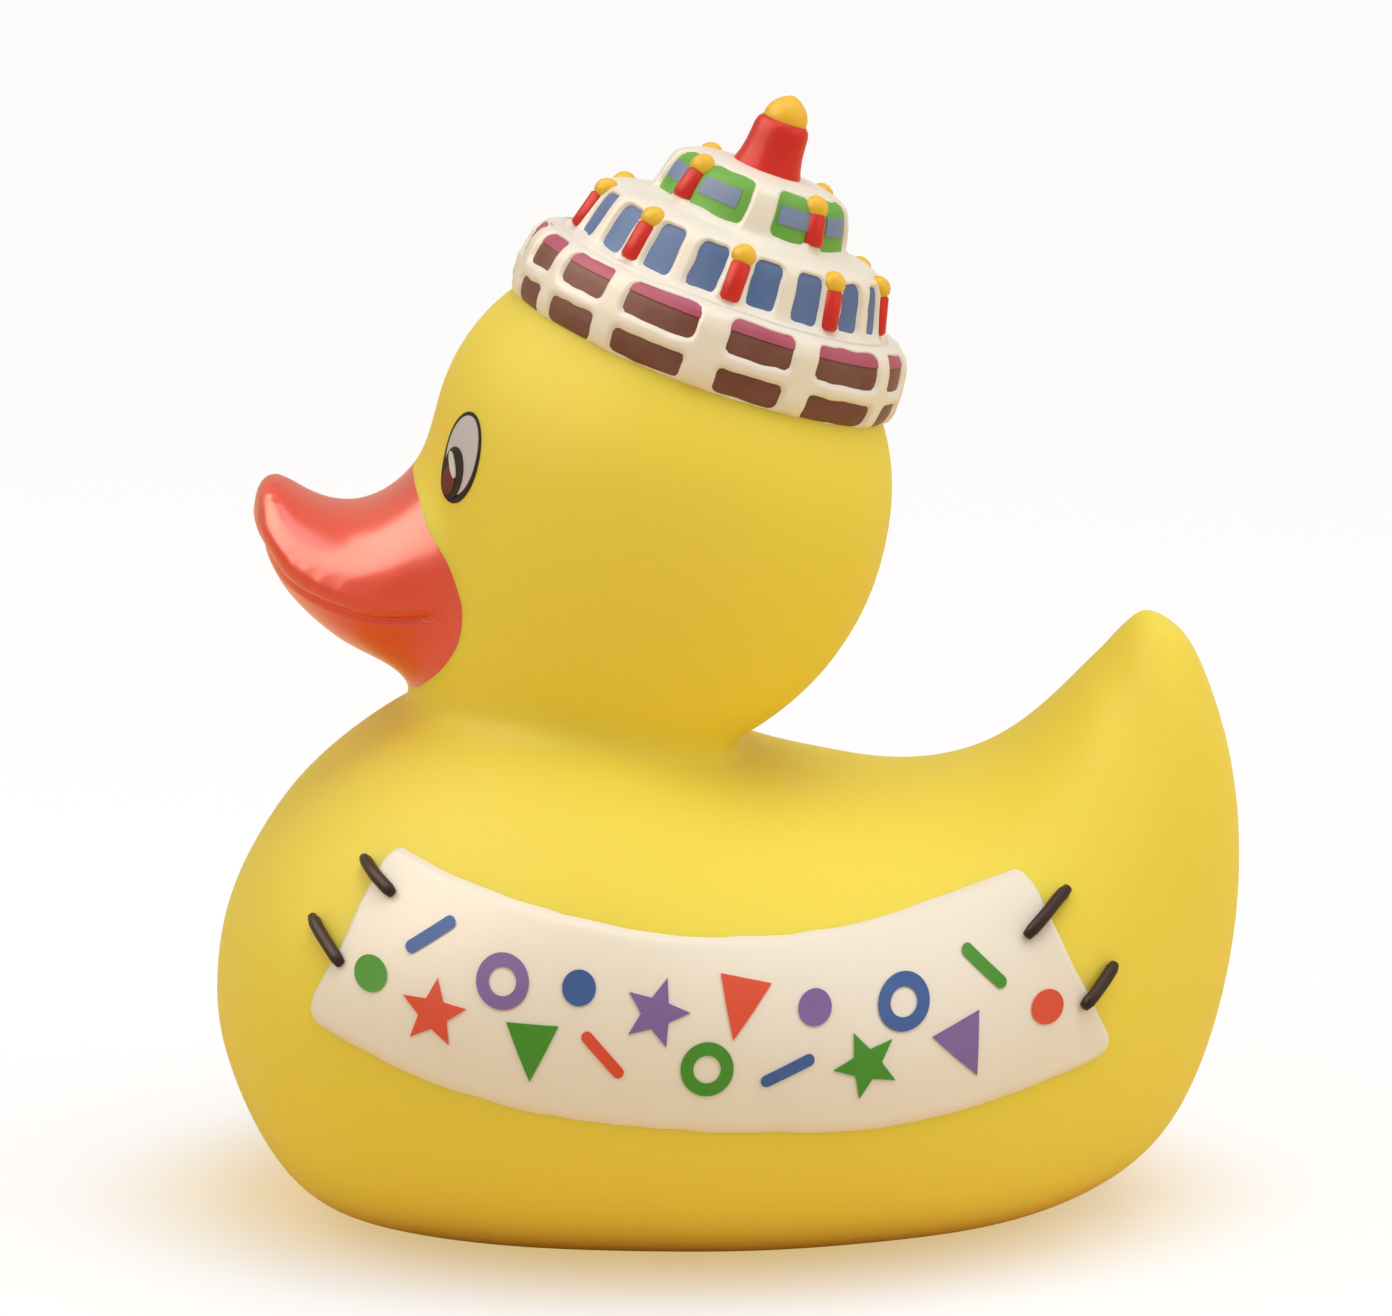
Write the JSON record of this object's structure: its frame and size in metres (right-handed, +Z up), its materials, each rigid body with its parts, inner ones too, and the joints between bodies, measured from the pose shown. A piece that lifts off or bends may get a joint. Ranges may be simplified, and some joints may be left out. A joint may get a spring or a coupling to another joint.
{
  "type": "rubber duck",
  "caption": "Hollow vinyl bath duck with an upturned tail, a tiered cake hat with candles, and a raised stitched banner on each flank.",
  "frame": {"origin": "centre of the bounding box's bottom face, on the flat underside that the duck stands on", "axes": "+Z up, -X the way the duck looks, +Y its right flank"},
  "size_m": [0.0906, 0.0766, 0.0982],
  "materials": {
    "yellow_vinyl": "satin soft vinyl in yellow, with sprayed and printed paint on bill, hat, banner, eyes and stitches"
  },
  "bodies": {
    "root": {"duck": "yellow_vinyl"}
  },
  "joints": []
}
